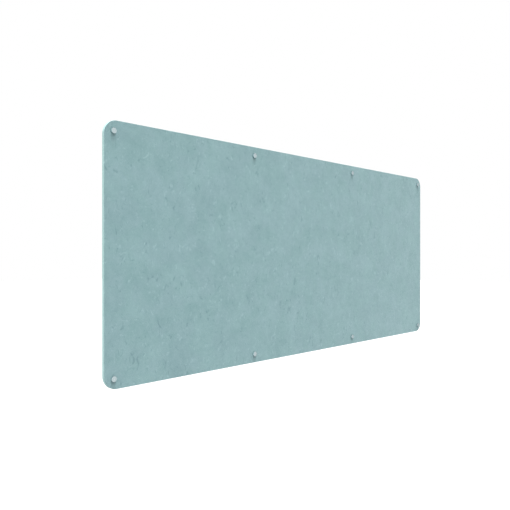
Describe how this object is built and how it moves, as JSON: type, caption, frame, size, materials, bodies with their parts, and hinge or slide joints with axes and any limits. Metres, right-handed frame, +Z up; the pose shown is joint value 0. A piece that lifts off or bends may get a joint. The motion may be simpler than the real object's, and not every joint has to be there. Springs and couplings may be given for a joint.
{
  "type": "acoustic pinboard",
  "caption": "Thin pressed-felt acoustic pinboard with rounded corners, held off a wall by round metal barrels and screw-on caps.",
  "frame": {"origin": "centre of the rectangle of wall fixings, in the plane of the wall, which is the rear faces of the barrels", "axes": "+X along the board to the right as a person faces it, -Y out of the wall towards that person, +Z up"},
  "size_m": [2.4, 0.079, 1],
  "materials": {
    "felt": "matte",
    "satin_aluminium": "satin",
    "zinc_steel": "satin",
    "yellow_zinc_steel": "satin",
    "black_rubber": "matte"
  },
  "bodies": {
    "root": {"board": "felt", "rear_washer_top_1": "black_rubber", "rear_washer_top_2": "black_rubber", "rear_washer_top_3": "black_rubber", "rear_washer_top_4": "black_rubber", "rear_washer_bottom_1": "black_rubber", "rear_washer_bottom_2": "black_rubber", "rear_washer_bottom_3": "black_rubber", "rear_washer_bottom_4": "black_rubber", "barrel_top_1": "satin_aluminium", "barrel_top_2": "satin_aluminium", "barrel_top_3": "satin_aluminium", "barrel_top_4": "satin_aluminium", "barrel_bottom_1": "satin_aluminium", "barrel_bottom_2": "satin_aluminium", "barrel_bottom_3": "satin_aluminium", "barrel_bottom_4": "satin_aluminium", "wall_screws": "yellow_zinc_steel"},
    "washer_top_1": {"front_washer_top_1": "black_rubber"},
    "cap_top_1": {"cap_top_1": "satin_aluminium", "stud_top_1": "zinc_steel"},
    "washer_top_2": {"front_washer_top_2": "black_rubber"},
    "cap_top_2": {"cap_top_2": "satin_aluminium", "stud_top_2": "zinc_steel"},
    "washer_top_3": {"front_washer_top_3": "black_rubber"},
    "cap_top_3": {"cap_top_3": "satin_aluminium", "stud_top_3": "zinc_steel"},
    "washer_top_4": {"front_washer_top_4": "black_rubber"},
    "cap_top_4": {"cap_top_4": "satin_aluminium", "stud_top_4": "zinc_steel"},
    "washer_bottom_1": {"front_washer_bottom_1": "black_rubber"},
    "cap_bottom_1": {"cap_bottom_1": "satin_aluminium", "stud_bottom_1": "zinc_steel"},
    "washer_bottom_2": {"front_washer_bottom_2": "black_rubber"},
    "cap_bottom_2": {"cap_bottom_2": "satin_aluminium", "stud_bottom_2": "zinc_steel"},
    "washer_bottom_3": {"front_washer_bottom_3": "black_rubber"},
    "cap_bottom_3": {"cap_bottom_3": "satin_aluminium", "stud_bottom_3": "zinc_steel"},
    "washer_bottom_4": {"front_washer_bottom_4": "black_rubber"},
    "cap_bottom_4": {"cap_bottom_4": "satin_aluminium", "stud_bottom_4": "zinc_steel"}
  },
  "joints": [
    {"name": "cap_travel_top_1", "type": "slide", "parent": "root", "child": "washer_top_1", "axis": [0, -1, 0], "range_m": [0, 0.012]},
    {"name": "cap_turn_top_1", "type": "hinge", "parent": "washer_top_1", "child": "cap_top_1", "pos_m": [-1.16, -0.0415, 0.46], "axis": [0, -1, 0], "range_deg": [0, 2880]},
    {"name": "cap_travel_top_2", "type": "slide", "parent": "root", "child": "washer_top_2", "axis": [0, -1, 0], "range_m": [0, 0.012]},
    {"name": "cap_turn_top_2", "type": "hinge", "parent": "washer_top_2", "child": "cap_top_2", "pos_m": [-0.4, -0.0415, 0.46], "axis": [0, -1, 0], "range_deg": [0, 2880]},
    {"name": "cap_travel_top_3", "type": "slide", "parent": "root", "child": "washer_top_3", "axis": [0, -1, 0], "range_m": [0, 0.012]},
    {"name": "cap_turn_top_3", "type": "hinge", "parent": "washer_top_3", "child": "cap_top_3", "pos_m": [0.4, -0.0415, 0.46], "axis": [0, -1, 0], "range_deg": [0, 2880]},
    {"name": "cap_travel_top_4", "type": "slide", "parent": "root", "child": "washer_top_4", "axis": [0, -1, 0], "range_m": [0, 0.012]},
    {"name": "cap_turn_top_4", "type": "hinge", "parent": "washer_top_4", "child": "cap_top_4", "pos_m": [1.16, -0.0415, 0.46], "axis": [0, -1, 0], "range_deg": [0, 2880]},
    {"name": "cap_travel_bottom_1", "type": "slide", "parent": "root", "child": "washer_bottom_1", "axis": [0, -1, 0], "range_m": [0, 0.012]},
    {"name": "cap_turn_bottom_1", "type": "hinge", "parent": "washer_bottom_1", "child": "cap_bottom_1", "pos_m": [-1.16, -0.0415, -0.46], "axis": [0, -1, 0], "range_deg": [0, 2880]},
    {"name": "cap_travel_bottom_2", "type": "slide", "parent": "root", "child": "washer_bottom_2", "axis": [0, -1, 0], "range_m": [0, 0.012]},
    {"name": "cap_turn_bottom_2", "type": "hinge", "parent": "washer_bottom_2", "child": "cap_bottom_2", "pos_m": [-0.4, -0.0415, -0.46], "axis": [0, -1, 0], "range_deg": [0, 2880]},
    {"name": "cap_travel_bottom_3", "type": "slide", "parent": "root", "child": "washer_bottom_3", "axis": [0, -1, 0], "range_m": [0, 0.012]},
    {"name": "cap_turn_bottom_3", "type": "hinge", "parent": "washer_bottom_3", "child": "cap_bottom_3", "pos_m": [0.4, -0.0415, -0.46], "axis": [0, -1, 0], "range_deg": [0, 2880]},
    {"name": "cap_travel_bottom_4", "type": "slide", "parent": "root", "child": "washer_bottom_4", "axis": [0, -1, 0], "range_m": [0, 0.012]},
    {"name": "cap_turn_bottom_4", "type": "hinge", "parent": "washer_bottom_4", "child": "cap_bottom_4", "pos_m": [1.16, -0.0415, -0.46], "axis": [0, -1, 0], "range_deg": [0, 2880]}
  ],
  "couplings": [
    {"joint": "cap_travel_top_1", "follows": "cap_turn_top_1", "m_per_rad": 0.00023873},
    {"joint": "cap_travel_top_2", "follows": "cap_turn_top_2", "m_per_rad": 0.00023873},
    {"joint": "cap_travel_top_3", "follows": "cap_turn_top_3", "m_per_rad": 0.00023873},
    {"joint": "cap_travel_top_4", "follows": "cap_turn_top_4", "m_per_rad": 0.00023873},
    {"joint": "cap_travel_bottom_1", "follows": "cap_turn_bottom_1", "m_per_rad": 0.00023873},
    {"joint": "cap_travel_bottom_2", "follows": "cap_turn_bottom_2", "m_per_rad": 0.00023873},
    {"joint": "cap_travel_bottom_3", "follows": "cap_turn_bottom_3", "m_per_rad": 0.00023873},
    {"joint": "cap_travel_bottom_4", "follows": "cap_turn_bottom_4", "m_per_rad": 0.00023873}
  ]
}
